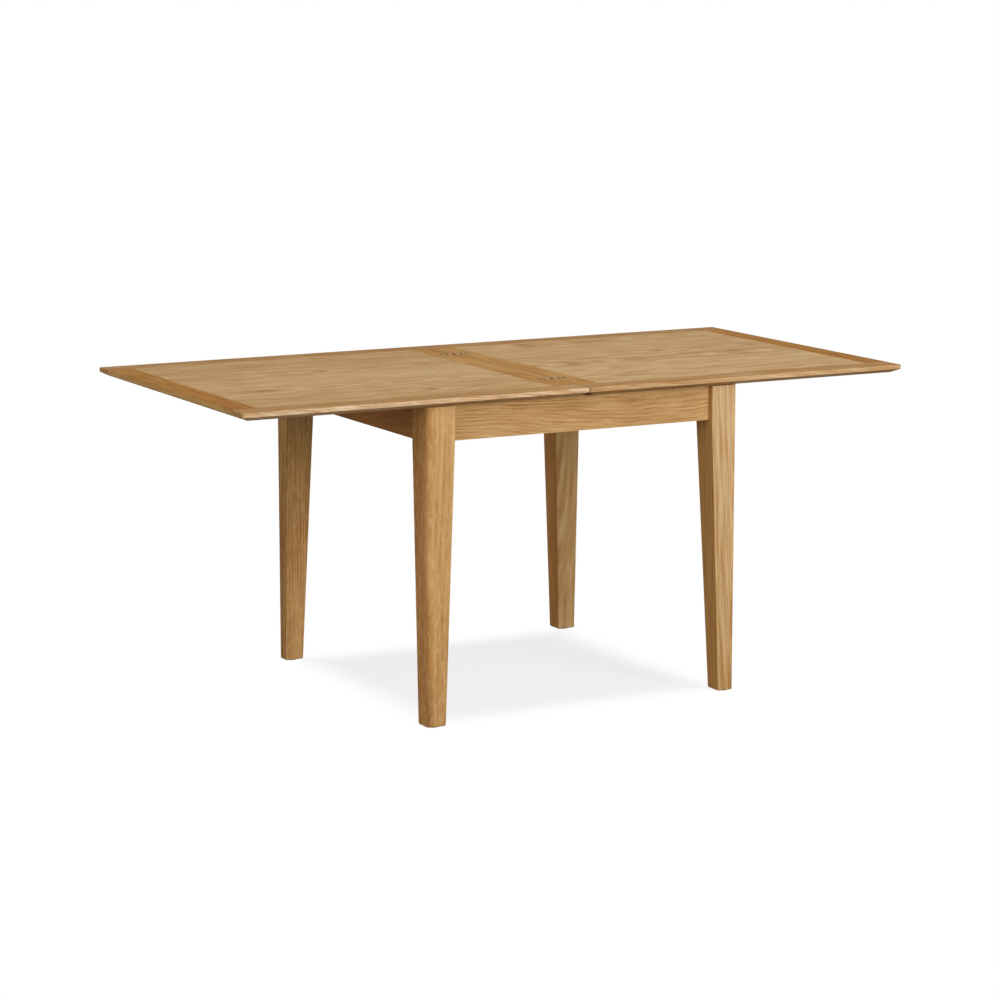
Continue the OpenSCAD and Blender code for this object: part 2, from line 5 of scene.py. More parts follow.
import bmesh
import bpy
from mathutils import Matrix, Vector


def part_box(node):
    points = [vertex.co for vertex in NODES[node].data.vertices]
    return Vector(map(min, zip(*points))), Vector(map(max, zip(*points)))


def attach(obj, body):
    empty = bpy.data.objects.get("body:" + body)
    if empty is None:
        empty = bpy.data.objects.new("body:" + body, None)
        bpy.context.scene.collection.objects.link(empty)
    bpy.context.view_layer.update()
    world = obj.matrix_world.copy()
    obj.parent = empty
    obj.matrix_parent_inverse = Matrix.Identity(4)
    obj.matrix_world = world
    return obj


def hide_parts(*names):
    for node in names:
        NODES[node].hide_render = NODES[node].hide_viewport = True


bl_info = {
    "name": "Flip Top Dining Table",
    "version": (1, 0, 0),
    "blender": (4, 5, 0),
    "location": "3D View > Sidebar > Flip Table",
    "description": "Oak, brass, felt and steel finishes and a studio stage for a flip top dining table",
    "category": "Object",
}

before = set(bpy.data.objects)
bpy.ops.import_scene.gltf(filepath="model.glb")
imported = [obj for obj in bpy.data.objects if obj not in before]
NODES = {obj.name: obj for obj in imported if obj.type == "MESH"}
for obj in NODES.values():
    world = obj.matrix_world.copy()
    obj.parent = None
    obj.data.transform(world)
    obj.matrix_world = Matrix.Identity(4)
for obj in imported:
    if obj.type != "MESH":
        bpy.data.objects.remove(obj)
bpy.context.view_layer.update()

LEAVES = ("fixed", "flip")
CORNERS = ("front_left", "front_right", "back_left", "back_right")
SIDES = ("front", "back", "left", "right")


def linear(hex_code):
    """Turns an sRGB hex colour into the linear colour that a shader takes."""
    channels = [int(hex_code[i:i + 2], 16) / 255 for i in (1, 3, 5)]
    return tuple(c / 12.92 if c <= 0.04045 else ((c + 0.055) / 1.055) ** 2.4 for c in channels)


def colour_choice(name, description, hex_code):
    """A colour that can be changed in the panel."""
    return bpy.props.FloatVectorProperty(
        name=name, description=description, subtype="COLOR", size=3, min=0, max=1, default=linear(hex_code))


def length_choice(name, description, default):
    """A length in metres that can be changed in the panel."""
    return bpy.props.FloatProperty(
        name=name, description=description, default=default, min=0, unit="LENGTH", precision=4)


def power_choice(name, description, default):
    """A lamp's power in watts that can be changed in the panel."""
    return bpy.props.FloatProperty(name=name, description=description, default=default, min=0, unit="POWER")


class OakChoices(bpy.types.PropertyGroup):
    """Colours and grain sizes of the oak"""
    panel_pale: colour_choice("Panel, pale", "Palest streaks of the panels", "#CEAE84")
    panel_middle: colour_choice("Panel, middle", "Plain wood of the panels", "#B89362")
    panel_dark: colour_choice("Panel, dark", "Darkest streaks of the panels", "#9B6E39")
    rail_pale: colour_choice("Rail, pale", "Palest streaks of the rails round the panels", "#C6A064")
    rail_middle: colour_choice("Rail, middle", "Plain wood of the rails", "#A37333")
    rail_dark: colour_choice("Rail, dark", "Darkest streaks of the rails", "#7D4C1C")
    end_pale: colour_choice("End rail, pale", "Palest streaks of the rails at the table's ends", "#C89C56")
    end_middle: colour_choice("End rail, middle", "Plain wood of the end rails", "#A57024")
    end_dark: colour_choice("End rail, dark", "Darkest streaks of the end rails", "#814A10")
    edge_pale: colour_choice("Edge, pale", "Palest streaks on the upright edges of the leaves", "#E2C6A4")
    edge_middle: colour_choice("Edge, middle", "Plain wood on the upright edges of the leaves", "#C6A277")
    edge_dark: colour_choice("Edge, dark", "Darkest streaks on the upright edges of the leaves", "#A4743F")
    leg_pale: colour_choice("Leg, pale", "Palest streaks of the legs", "#D3AC78")
    leg_middle: colour_choice("Leg, middle", "Plain wood of the legs", "#BC9059")
    leg_dark: colour_choice("Leg, dark", "Darkest streaks of the legs", "#8F5F2E")
    # The side tones are partly painted shade: they are redder than the legs' own, so that the shaded side faces of the
    # legs and the side aprons come out orange brown.
    leg_side_pale: colour_choice("Leg side, pale", "Palest streaks on the legs' side faces", "#CF9A58")
    leg_side_middle: colour_choice("Leg side, middle", "Plain wood on the legs' side faces", "#AE7740")
    leg_side_dark: colour_choice("Leg side, dark", "Darkest streaks on the legs' side faces", "#8A5526")
    apron_pale: colour_choice("Apron, pale", "Palest streaks of the aprons", "#D0AA76")
    apron_middle: colour_choice("Apron, middle", "Plain wood of the aprons", "#B28855")
    apron_dark: colour_choice("Apron, dark", "Darkest streaks of the aprons", "#8A5A27")
    inside_pale: colour_choice("Inner hardwood, pale", "Palest streaks of the unfinished wood under the top", "#D8C29C")
    inside_middle: colour_choice("Inner hardwood, middle", "Plain unfinished wood under the top", "#C4AA7E")
    inside_dark: colour_choice("Inner hardwood, dark", "Darkest streaks of the unfinished wood", "#A58A5C")
    ring_width: length_choice("Ring width", "Distance between two growth rings", 0.007)
    arris: length_choice("Eased arris", "Rounding of the legs' and aprons' arrises by sanding", 0.0012)

    def tones(self, wood):
        """The pale, middle and dark colour of one kind of board."""
        return tuple(tuple(getattr(self, "%s_%s" % (wood, tone))) for tone in ("pale", "middle", "dark"))


class MetalChoices(bpy.types.PropertyGroup):
    """Colours of the hinges, the steel and the small parts"""
    brass: colour_choice("Aged brass", "Metal of the hinges where it is worn clean", "#B59E68")
    tarnish: colour_choice("Tarnish", "Dull film on the hinges", "#463A12")
    grime: colour_choice("Grime", "Dark film on the hinges' screws, links and pins", "#2B2310")
    zinc: colour_choice("Zinc plate", "Bright zinc on screws, bolts and brackets", "#B4B7B9")
    felt: colour_choice("Felt", "Pressed wool felt on the aprons", "#5A4634")
    nylon: colour_choice("Nylon", "Moulded glides under the feet", "#3B342D")
    rubber: colour_choice("Rubber", "Stop buffers of the slide", "#262524")


class StageChoices(bpy.types.PropertyGroup):
    """Floor and lamps of the studio"""
    floor: colour_choice("Floor", "Matt floor under the table", "#F4F4F4")
    sky: bpy.props.FloatProperty(
        name="Room light", description="Even light from the white room", default=0.42, min=0)
    bounce: bpy.props.FloatProperty(
        name="Floor light", description="Light that the floor throws back up", default=0.12, min=0)
    key: power_choice("Key lamp", "Power of the large soft lamp in front", 237)
    high: power_choice("High lamp", "Power of the weak lamp high in front", 48)
    top: power_choice("Top lamp", "Power of the soft lamp over the table", 41)
    side: power_choice("Side lamp", "Power of the weak lamp on the left", 85)


def add(tree, kind, inputs=None, **settings):
    """Adds a node to a tree, sets its properties, and gives its inputs values or links."""
    node = tree.nodes.new(kind)
    for name, value in settings.items():
        setattr(node, name, value)
    for name, value in (inputs or {}).items():
        if isinstance(value, bpy.types.NodeSocket):
            tree.links.new(value, node.inputs[name])
        else:
            node.inputs[name].default_value = value
    return node


def maths(tree, operation, *values):
    """The outcome of one sum on sockets and numbers."""
    return add(tree, "ShaderNodeMath", dict(enumerate(values)), operation=operation).outputs["Value"]


def weighted_sum(tree, *terms):
    """Adds up sockets, each times its weight."""
    total = 0.0
    for socket, weight in terms:
        total = maths(tree, "MULTIPLY_ADD", socket, weight, total)
    return total


def add_ramp(tree, value, stops):
    """Adds a colour ramp at a value. Its stops are places with grey levels or colours."""
    node = add(tree, "ShaderNodeValToRGB", {"Fac": value})
    elements = node.color_ramp.elements
    while len(elements) > 1:
        elements.remove(elements[-1])
    for i, (place, level) in enumerate(stops):
        element = elements[0] if i == 0 else elements.new(place)
        element.position = place
        element.color = (level, level, level, 1) if isinstance(level, float) else (*level, 1)[:4]
    return node


def mixed(tree, share, first, second):
    """A mix of two colours. share is how much of the second there is in it."""
    return add(tree, "ShaderNodeMix", {"Factor": share, 6: first, 7: second}, data_type="RGBA").outputs[2]


def shaded(colour, share=1.0):
    """A colour times a number, in the form that a socket takes."""
    return tuple(min(1, channel * share) for channel in colour) + (1,)


def new_finish(name):
    """An empty material with its nodes and the place on the table that its patterns start from."""
    material = bpy.data.materials.new(name)
    material.use_nodes = True
    tree = material.node_tree
    tree.nodes.clear()
    return material, tree, add(tree, "ShaderNodeTexCoord")


def close_finish(tree, inputs):
    """Gives a material its shader."""
    shader = add(tree, "ShaderNodeBsdfPrincipled", inputs)
    add(tree, "ShaderNodeOutputMaterial", {"Surface": shader.outputs["BSDF"]})


def dress(names, material):
    """Gives the finish to CAD nodes or to pieces."""
    for name in names:
        piece = NODES[name] if isinstance(name, str) else name
        piece.data.materials.clear()
        piece.data.materials.append(material)


# Points that are nearer to each other than this are one point, in metres.
WELD_DISTANCE = 0.00001
# Two faces that meet at more than this angle have an arris, which is rounded in this many steps.
ARRIS_ANGLE = math.radians(35)
ARRIS_STEPS = 3


def ease(names, width):
    """Rounds the sharp arrises of CAD nodes a little, as sanding does."""
    for name in names:
        piece = NODES[name]
        weld = piece.modifiers.new("weld", "WELD")
        weld.merge_threshold = WELD_DISTANCE
        bevel = piece.modifiers.new("eased_arris", "BEVEL")
        bevel.width = width
        bevel.segments = ARRIS_STEPS
        bevel.limit_method = "ANGLE"
        bevel.angle_limit = ARRIS_ANGLE
        bevel.harden_normals = True


# Oak, planed and sanded, under matt lacquer.
# The eye sees streaks and pore bands that follow the growth rings, short dark pores, and on quarter cut faces pale
# ray flecks. The grain is a stack of rings round the middle of the log. That runs along the board, u, at a place
# across it, v and w. Here is which way u, v and w go for each way of the grain.
GRAIN = {"X": ("X", "Y", "Z"), "Y": ("Y", "X", "Z"), "Z": ("Z", "X", "Y")}

# How many times each pattern changes in a metre, along the grain and across it two ways, and the detail and the
# roughness of its noise. Where the last of the three numbers is 0, the middle one is across the rings.
# The log's bends are about 170 mm wide and 600 mm long.
LOG_BENDS = (1.6, 6.0, 6.0), 3.0, 0.5
# Slow changes of tone are about 60 mm wide and 400 mm long.
TONE_CHANGES = (2.5, 17.0, 17.0), 2.0, 0.5
# Fine streaks are 2.6 mm wide and 100 mm long.
FINE_STREAKS = (10.0, 380.0, 0.0), 2.0, 0.6
# The streaks that run out of the wood on side faces are 1.4 mm wide and 60 mm long.
RUN_OUT_STREAKS = (16.0, 720.0, 0.0), 3.0, 0.6
# Pores are 0.3 mm wide and are drawn 0.7 mm wide, so that they show, and 12 mm long.
PORES = (80.0, 1500.0, 1500.0), 1.0, 0.5
# Ray flecks are lens shapes about 6 mm wide and 22 mm long, aslant to the grain.
RAY_FLECKS = (45.0, 170.0, 170.0)
FLECK_SLANT = math.radians(20)

# How dark a growth ring is from the pores of spring to the dense wood of summer and on to the next ring
RING_TONES = ((0.0, 0.55), (0.08, 1.0), (0.3, 0.45), (0.6, 0.08), (0.9, 0.2), (1.0, 0.55))
# The rings' tones and the noises lie round these numbers, so the middle of their sum is known and becomes the middle
# tone. The palest and the darkest tone are this far from it.
RING_MIDDLE = 0.36
NOISE_MIDDLE = 0.5
TONE_REACH = 0.75
# How much the broad and the fine streaks count, before a board's own figure
BROAD_SHARE = 1.5
FINE_SHARE = 0.7
# How far a pore covers the wood, how dark it is beside the darkest tone, how much duller than the lacquer, and how
# deep, in metres
PORE_COVER = 0.5
PORE_TONE = 0.55
PORE_DULLNESS = 0.18
PORE_DEPTH = 0.00025
# How much a stave's own tone counts, and how long the log is that the staves come from, in metres
STAVE_CONTRAST = 0.5
LOG_LENGTH = 7.0
# A ramp holds nothing below zero, so the places of the logs' middles count from here, in metres.
LOG_START = -0.5
# How far along the log the pattern of the next seed lies, in metres
BOARD_STEP = 1.37


def scaled_noise(tree, vector, scale, detail, roughness):
    """A noise that is stretched along the grain. scale is how many times it changes in a metre each way."""
    stretched = add(tree, "ShaderNodeVectorMath", {0: vector, 1: scale}, operation="MULTIPLY")
    return add(tree, "ShaderNodeTexNoise", {
        "Vector": stretched.outputs["Vector"], "Scale": 1.0, "Detail": detail, "Roughness": roughness}).outputs["Fac"]


def stave_picker(tree, v, staves, seed):
    """A ramp across a panel that says where in the log each of its staves lies.

    Its colour holds a random place along the log, where the log's middle lies at v, and how dark the stave is. Its
    alpha holds how lively the stave's streaks are.
    """
    low, high = staves[0][0], staves[-1][0]
    chance = random.Random(seed)
    share = add(tree, "ShaderNodeMapRange", {"Value": v, "From Min": low, "From Max": high})
    stops = [((edge - low) / (high - low), (chance.random(), middle - LOG_START, tone, lively))
             for edge, middle, tone, lively in staves[:-1]]
    picker = add_ramp(tree, share.outputs["Result"], stops)
    picker.color_ramp.interpolation = "CONSTANT"
    return picker


def growth_rings(tree, grain, u, tilt, wander, lean):
    """The place along and across the rings, for streaks that follow them, and how dark the ring is there."""
    # The log isn't straight: its rings wander by a few centimetres over the length of a board.
    drift = scaled_noise(tree, grain, *LOG_BENDS)
    parts = add(tree, "ShaderNodeSeparateXYZ", {"Vector": grain})
    leaning = weighted_sum(tree, (parts.outputs["Z"], 1.0), (u, lean))
    across = add(tree, "ShaderNodeCombineXYZ", {"Y": parts.outputs["Y"], "Z": leaning})
    radius = add(tree, "ShaderNodeVectorMath", {0: across.outputs["Vector"]}, operation="LENGTH")
    bent = weighted_sum(tree, (radius.outputs["Value"], 1.0), (parts.outputs["X"], tilt), (drift, wander))
    ring = maths(tree, "FRACT", maths(tree, "DIVIDE", bent, bpy.context.scene.table_oak.ring_width))
    flow = add(tree, "ShaderNodeCombineXYZ", {"X": parts.outputs["X"], "Y": bent})
    return flow.outputs["Vector"], add_ramp(tree, ring, RING_TONES).outputs["Color"]


def pore_pattern(tree, grain, band):
    """Short pores, most of them in the dark bands of the rings."""
    dots = add_ramp(tree, scaled_noise(tree, grain, *PORES), ((0.58, 0.0), (0.68, 1.0)))
    share = weighted_sum(tree, (band, 0.75), (1.0, 0.25))
    return maths(tree, "MULTIPLY", dots.outputs["Color"], share)


def with_flecks(tree, grain, colour, pale, fleck):
    """The wood's colour with ray flecks over it, which are a little paler than its palest tone."""
    aslant = add(tree, "ShaderNodeMapping", {
        "Vector": grain, "Rotation": (0.0, 0.0, FLECK_SLANT), "Scale": RAY_FLECKS})
    field = add(tree, "ShaderNodeTexNoise", {
        "Vector": aslant.outputs["Vector"], "Scale": 1.0, "Detail": 1.0, "Roughness": 0.4})
    lens = add_ramp(tree, field.outputs["Fac"], ((0.5, 0.0), (0.66, fleck)))
    return mixed(tree, lens.outputs["Color"], colour, shaded(pale, 1.1))


def oak(name, along, tones, pith, seed, staves=None, tilt=0.02, wander=0.03, lean=0.0, rings=0.25,
        streak=(0.3, 0.009), figure=1.0, cloud=1.0, shade=0.0, fade=0.0, side_tones=None, side_shade=0.0,
        side_figure=0.0, fleck=0.0, rough=0.7):
    """Lacquered oak with its grain along X, Y or Z.

    tones are its pale, middle and dark colour. pith is where the middle of the log lies, at v and w. tilt is the
    slope of the rings along the board, wander how far they wave, in metres, and lean how far the grain slopes across
    the face. streak is the length and width of the broad streaks, in metres. rings, figure, cloud and fleck are the
    contrast of the growth rings, the streaks, the slow changes of tone and the ray flecks. shade makes the board
    darker. fade is painted shade: it makes the board darker for each metre along the grain, and where it is below
    nought paler, so that on the legs it paints them paler towards the top and darker towards the foot, as the light
    falls. Its faces across v, where the saw met the rings another way, have side_tones. side_shade makes them
    darker, and side_figure gives them thin streaks that run out of the wood. On the legs side_tones and side_shade
    are partly painted light: they also paint the side faces, which lie in shade, with the colour and depth that
    the shade has there.
    """
    material, tree, place = new_finish(name)
    axes = add(tree, "ShaderNodeSeparateXYZ", {"Vector": place.outputs["Object"]})
    u, v, w = (axes.outputs[axis] for axis in GRAIN[along])
    grain = add(tree, "ShaderNodeCombineXYZ", {"X": u, "Y": v, "Z": w}).outputs["Vector"]
    # fade is painted shade along the grain: it is negative on the legs, so they come out paler towards the top.
    terms = [(1.0, shade), (u, fade)]
    middle = RING_MIDDLE * rings + NOISE_MIDDLE * cloud
    if staves:
        # Each stave is another piece of the log, so it has its own place in the pattern.
        picker = stave_picker(tree, v, staves, seed)
        grain = add(tree, "ShaderNodeVectorMath",
                    {0: picker.outputs["Color"], 1: (LOG_LENGTH, -1.0, 0.0), 2: grain},
                    operation="MULTIPLY_ADD").outputs["Vector"]
        tone = add(tree, "ShaderNodeSeparateColor", {"Color": picker.outputs["Color"]}).outputs["Blue"]
        terms.append((tone, STAVE_CONTRAST))
        middle += NOISE_MIDDLE * STAVE_CONTRAST
        pith = (LOG_START, pith[1])
    grain = add(tree, "ShaderNodeVectorMath", {0: grain, 1: (seed * BOARD_STEP, -pith[0], -pith[1])},
                operation="ADD").outputs["Vector"]

    flow, band = growth_rings(tree, grain, u, tilt, wander, lean)
    broad = scaled_noise(tree, flow, (1 / streak[0], 1 / streak[1], 0.0), 2.0, 0.55)
    fine = scaled_noise(tree, flow, *FINE_STREAKS)
    slow = scaled_noise(tree, grain, *TONE_CHANGES)
    streaks = weighted_sum(tree, (broad, BROAD_SHARE * figure), (fine, FINE_SHARE * figure),
                           (1.0, -(BROAD_SHARE + FINE_SHARE) * NOISE_MIDDLE * figure))
    if staves:
        streaks = maths(tree, "MULTIPLY", streaks, picker.outputs["Alpha"])
    terms += [(band, rings), (streaks, 1.0), (slow, cloud)]
    # The side faces take their own tones and darkness: partly the other cut of the wood, partly painted shade.
    if side_tones:
        facing = add(tree, "ShaderNodeSeparateXYZ", {"Vector": place.outputs["Normal"]})
        sideways = maths(tree, "ABSOLUTE", facing.outputs[GRAIN[along][1]])
        # The streaks that run out take the place of part of the others.
        run_out = scaled_noise(tree, flow, *RUN_OUT_STREAKS)
        there = weighted_sum(tree, (run_out, side_figure), (streaks, -0.6 if side_figure else 0.0),
                             (1.0, side_shade - NOISE_MIDDLE * side_figure))
        terms.append((maths(tree, "MULTIPLY", there, sideways), 1.0))

    level = add(tree, "ShaderNodeMapRange", {
        "Value": weighted_sum(tree, *terms), "From Min": middle - TONE_REACH, "From Max": middle + TONE_REACH})
    colour, side_colour = (
        add_ramp(tree, level.outputs["Result"], zip((0.0, 0.5, 1.0), choice)).outputs["Color"]
        for choice in (tones, side_tones or tones))
    if side_tones:
        colour = mixed(tree, sideways, colour, side_colour)
    if fleck:
        colour = with_flecks(tree, grain, colour, tones[0], fleck)
    pores = pore_pattern(tree, grain, band)
    colour = mixed(tree, maths(tree, "MULTIPLY", pores, PORE_COVER), colour, shaded(tones[2], PORE_TONE))
    relief = weighted_sum(tree, (pores, -1.0), (fine, 1.0))
    bump = add(tree, "ShaderNodeBump", {"Height": relief, "Strength": 0.35, "Distance": PORE_DEPTH})
    close_finish(tree, {
        "Base Color": colour, "Roughness": weighted_sum(tree, (pores, PORE_DULLNESS), (1.0, rough)),
        "IOR": 1.5, "Specular IOR Level": 0.1, "Normal": bump.outputs["Normal"]})
    return material


def planed_hardwood(name, along, tones, seed):
    """Unfinished planed hardwood. The eye sees plain straight grain with no gloss."""
    return oak(name, along, tones, (0.05, 0.5), seed, tilt=0.01, wander=0.012, figure=0.6, rough=0.75)


def turned_beech(name, tones):
    """Turned beech dowel. The eye sees pale wood with fine short flecks."""
    return oak(name, "Z", tones, (0.03, 0.04), 3, tilt=0.0, wander=0.005, figure=0.5, fleck=0.3)


# How much film there is from the seam (0) to the end of a hinge plate (1), and the plate's length in metres
FILM_ALONG_PLATE = ((0.0, 1.0), (0.14, 1.0), (0.2, 0.1), (0.3, 0.1), (0.37, 1.0), (0.55, 1.0), (0.6, 0.2), (0.66, 0.2),
                    (0.7, 1.0), (0.85, 1.0), (0.9, 0.3), (0.95, 0.6), (1.0, 1.0))
PLATE_LENGTH = 0.042
# How many times the brush lines change in a metre: they run along the plate, 0.25 mm apart.
BRUSH_LINES = (60.0, 4000.0, 4000.0)


def aged_brass(name, clean, tarnish, worn=False):
    """Cast and brushed brass that has aged. The eye sees an olive brown film.

    On the worn plates the film has stayed round the screws, at the knuckle and at the ends, and hands have rubbed the
    metal between them paler.
    """
    material, tree, place = new_finish(name)
    # Film patches are about 4 mm across.
    film = add(tree, "ShaderNodeTexNoise",
               {"Vector": place.outputs["Object"], "Scale": 260.0, "Detail": 4.0, "Roughness": 0.6})
    cover = add_ramp(tree, film.outputs["Fac"], ((0.3, 0.8), (0.55, 1.0))).outputs["Color"]
    if worn:
        sides = add(tree, "ShaderNodeSeparateXYZ", {"Vector": place.outputs["Object"]})
        along = maths(tree, "DIVIDE", maths(tree, "ABSOLUTE", sides.outputs["X"]), PLATE_LENGTH)
        kept = add_ramp(tree, along, FILM_ALONG_PLATE)
        cover = maths(tree, "MULTIPLY", cover, kept.outputs["Color"])
    lines = add(tree, "ShaderNodeVectorMath", {0: place.outputs["Object"], 1: BRUSH_LINES}, operation="MULTIPLY")
    brush = add(tree, "ShaderNodeTexNoise", {"Vector": lines.outputs["Vector"], "Scale": 1.0, "Detail": 2.0})
    bump = add(tree, "ShaderNodeBump", {"Height": brush.outputs["Fac"], "Strength": 0.25, "Distance": 0.00005})
    # The film isn't metal, and it is duller than the brass under it.
    close_finish(tree, {
        "Base Color": mixed(tree, cover, shaded(clean), shaded(tarnish)),
        "Metallic": maths(tree, "MULTIPLY_ADD", cover, -0.95, 1.0),
        "Roughness": maths(tree, "MULTIPLY_ADD", cover, 0.35, 0.4),
        "Specular IOR Level": 0.1, "Normal": bump.outputs["Normal"]})
    return material


def zinc_plate(name, zinc):
    """Steel pressed and zinc plated. The eye sees a cool satin grey with faint cloudy spangles."""
    material, tree, place = new_finish(name)
    # Spangles are about 3 mm across.
    spangle = add(tree, "ShaderNodeTexVoronoi", {"Vector": place.outputs["Object"], "Scale": 330.0})
    cloud = add(tree, "ShaderNodeMapRange", {"Value": spangle.outputs["Distance"], "To Min": 0.8, "To Max": 1.0})
    gloss = add(tree, "ShaderNodeMapRange", {"Value": spangle.outputs["Distance"], "To Min": 0.28, "To Max": 0.42})
    close_finish(tree, {
        "Base Color": mixed(tree, cloud.outputs["Result"], shaded(zinc, 0.8), shaded(zinc)),
        "Metallic": 1.0, "Roughness": gloss.outputs["Result"]})
    return material


def pressed_felt(name, felt):
    """Wool felt, pressed. The eye sees a matt brown nap with lighter loose fibres."""
    material, tree, place = new_finish(name)
    # The nap's clumps are about 1.5 mm across and its fibres are drawn 0.3 mm wide.
    clump = add(tree, "ShaderNodeTexNoise", {"Vector": place.outputs["Object"], "Scale": 700.0, "Detail": 3.0})
    fibre = add(tree, "ShaderNodeTexNoise",
                {"Vector": place.outputs["Object"], "Scale": 3300.0, "Detail": 2.0, "Distortion": 1.5})
    nap = maths(tree, "MULTIPLY_ADD", clump.outputs["Fac"], 0.6, fibre.outputs["Fac"])
    level = add(tree, "ShaderNodeMapRange", {"Value": nap, "From Min": 0.5, "From Max": 1.1})
    bump = add(tree, "ShaderNodeBump", {"Height": nap, "Strength": 0.8, "Distance": 0.0004})
    close_finish(tree, {
        "Base Color": mixed(tree, level.outputs["Result"], shaded(felt, 0.6), shaded(felt, 1.3)),
        "Roughness": 0.95, "Sheen Weight": 0.3, "Sheen Roughness": 0.5, "Normal": bump.outputs["Normal"]})
    return material


def moulded(name, colour, rough, grit):
    """A moulded plastic or rubber. The eye sees one dark colour with the fine grit of its mould. grit is in metres."""
    material, tree, place = new_finish(name)
    texture = add(tree, "ShaderNodeTexNoise",
                  {"Vector": place.outputs["Object"], "Scale": 1 / grit, "Detail": 2.0}).outputs["Fac"]
    dull = add(tree, "ShaderNodeMapRange", {"Value": texture, "To Min": rough - 0.06, "To Max": rough + 0.06})
    bump = add(tree, "ShaderNodeBump", {"Height": texture, "Strength": 0.3, "Distance": 0.00008})
    close_finish(tree, {
        "Base Color": mixed(tree, texture, shaded(colour, 0.85), shaded(colour, 1.15)),
        "Roughness": dull.outputs["Result"], "IOR": 1.53, "Normal": bump.outputs["Normal"]})
    return material


# The staves of each panel from the front rail to the back rail: where each one begins and where the middle of its log
# lies, in metres from the middle of the table, how dark it is, and how lively. The last entry is where they end.
STAVES = {
    "fixed": ((-0.363, -0.270, 0.65, 0.5), (-0.200, -0.130, 0.45, 0.7), (-0.074, -0.230, 0.2, 0.4),
              (0.055, 0.120, 0.6, 0.5), (0.228, 0.160, 0.7, 0.6), (0.363, 0, 0, 0)),
    "flip": ((-0.363, -0.200, 0.25, 0.7), (-0.222, -0.150, 0.0, 0.35), (-0.091, -0.040, 0.45, 1.0),
             (0.020, 0.080, 0.42, 0.55), (0.133, 0.050, 0.3, 0.35), (0.250, 0.310, 0.35, 0.8), (0.363, 0, 0, 0)),
}
# How high over the floor the middles of the logs lie, 47 mm under the surface
LOG_HEIGHT = 0.70


class LeafPanels(bpy.types.Operator):
    """Gives both panels staves of oak with their grain along the table"""
    bl_idname = "fliptable.leaf_panels"
    bl_label = "Leaf panels"

    def execute(self, context):
        tones = context.scene.table_oak.tones("panel")
        for seed, leaf in enumerate(LEAVES):
            finish = oak("lacquered_oak_%s_panel" % leaf, "X", tones, (0.0, LOG_HEIGHT), 11 + seed,
                         staves=STAVES[leaf], tilt=0.05, wander=0.03, rings=0.6, streak=(0.11, 0.018), figure=2.0,
                         cloud=0.7)
            dress(["%s_leaf_panel" % leaf], finish)
        return {"FINISHED"}


# The rails of each leaf: the way of their grain, whose tones they have, where the middle of their log lies (on the
# flip leaf; the fixed leaf's cross rails are the other way round), how dark they are and how strong their streaks are.
RAILS = {
    "front": ("X", "panel", (-0.26, 0.62), 0.54, 1.6),
    "back": ("X", "panel", (0.26, 0.62), 0.68, 2.2),
    "end": ("Y", "end", (0.72, 0.65), 0.28, 1.7),
    "seam": ("Y", "rail", (0.16, 0.65), -0.05, 0.9),
}
# How dark each leaf's front and back edges are and how strong their streaks are, and the same for the edges of its
# cross rails
EDGES = {"fixed": (-0.12, 4.2), "flip": (0.23, 1.7)}
END_EDGE = (-0.45, 0.7)


class LeafRails(bpy.types.Operator):
    """Gives the rails round the panels oak with its grain along the rail"""
    bl_idname = "fliptable.leaf_rails"
    bl_label = "Leaf rails"

    def execute(self, context):
        choices = context.scene.table_oak
        seed = 20
        for leaf, way in zip(LEAVES, (-1, 1)):
            for rail, (along, wood, (v, w), shade, figure) in RAILS.items():
                seed += 1
                cross = along == "Y"
                edge_shade, edge_figure = END_EDGE if cross else EDGES[leaf]
                finish = oak("lacquered_oak_%s_%s_rail" % (leaf, rail), along, choices.tones(wood),
                             (v * way if cross else v, w), seed, wander=0.03, lean=0.0 if cross else 0.05,
                             streak=(0.14, 0.006), figure=figure, shade=shade,
                             side_tones=choices.tones("rail" if cross else "edge"), side_shade=edge_shade - shade,
                             side_figure=edge_figure)
                dress(["%s_leaf_%s_rail" % (leaf, rail)], finish)
        return {"FINISHED"}


# The legs: whose tones their front and side faces have, and in what ways else the oak of each differs from the others'.
# Part of it is painted light: fade paints three legs paler towards the top and darker towards the foot, and the side
# tones and side_shade paint the side faces, which lie in shade, paler on three legs and darker on the back left one.
LEGS = {
    "front_left": ("leg", "leg_side", dict(
        streak=(0.15, 0.005), figure=0.75, cloud=1.6, shade=0.08, fade=-0.25, side_shade=-0.1, fleck=0.32)),
    "front_right": ("panel", "leg_side", dict(
        streak=(0.15, 0.0028), figure=1.7, cloud=0.5, shade=0.1, fade=-0.6, side_shade=-0.35)),
    "back_left": ("leg", "leg", dict(
        streak=(0.15, 0.005), figure=0.75, cloud=1.2, shade=0.25, side_shade=0.18, fleck=0.22)),
    "back_right": ("panel", "leg_side", dict(
        streak=(0.15, 0.004), figure=1.2, shade=0.2, fade=-0.25, side_shade=-0.15)),
}
# The front left leg is glued up from two boards, and the narrow inner one is paler. As in the panels, these are where
# each board begins, the middle of its log, how dark it is and how lively.
LEG_BOARDS = {"front_left": ((-0.4045, 0.0, 0.5, 1.0), (-0.347, -0.25, 0.1, 0.6), (-0.334, 0, 0, 0))}


